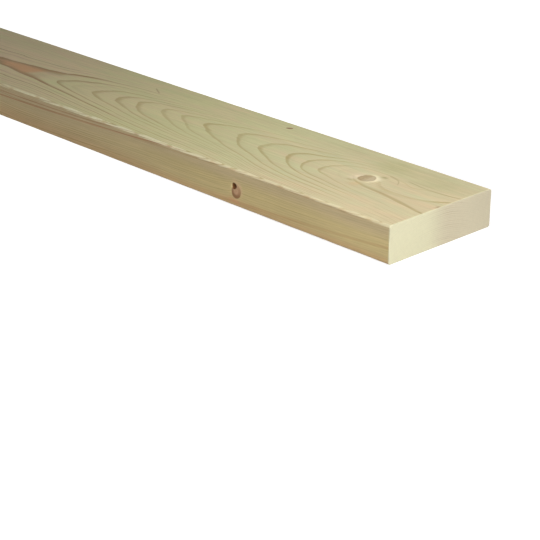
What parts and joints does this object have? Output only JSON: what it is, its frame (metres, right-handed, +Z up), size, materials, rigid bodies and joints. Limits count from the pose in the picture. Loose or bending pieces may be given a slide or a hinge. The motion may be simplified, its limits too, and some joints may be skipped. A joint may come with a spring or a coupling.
{
  "type": "timber lumber plank",
  "caption": "Planed softwood plank for framing, joists and joinery, with a flat rectangular section, eased long edges, square sawn ends, arched flat-sawn grain and knots.",
  "frame": {"origin": "on the underside, at the middle of the plank's footprint", "axes": "+X along the grain towards the sawn end with the wide-face knot near it, +Y across the width, +Z up through the thickness, as the plank lies flat"},
  "size_m": [2.4, 0.14, 0.038],
  "materials": {
    "planed_softwood": "planed, bare, matt"
  },
  "bodies": {
    "root": {"plank": "planed_softwood"}
  },
  "joints": []
}
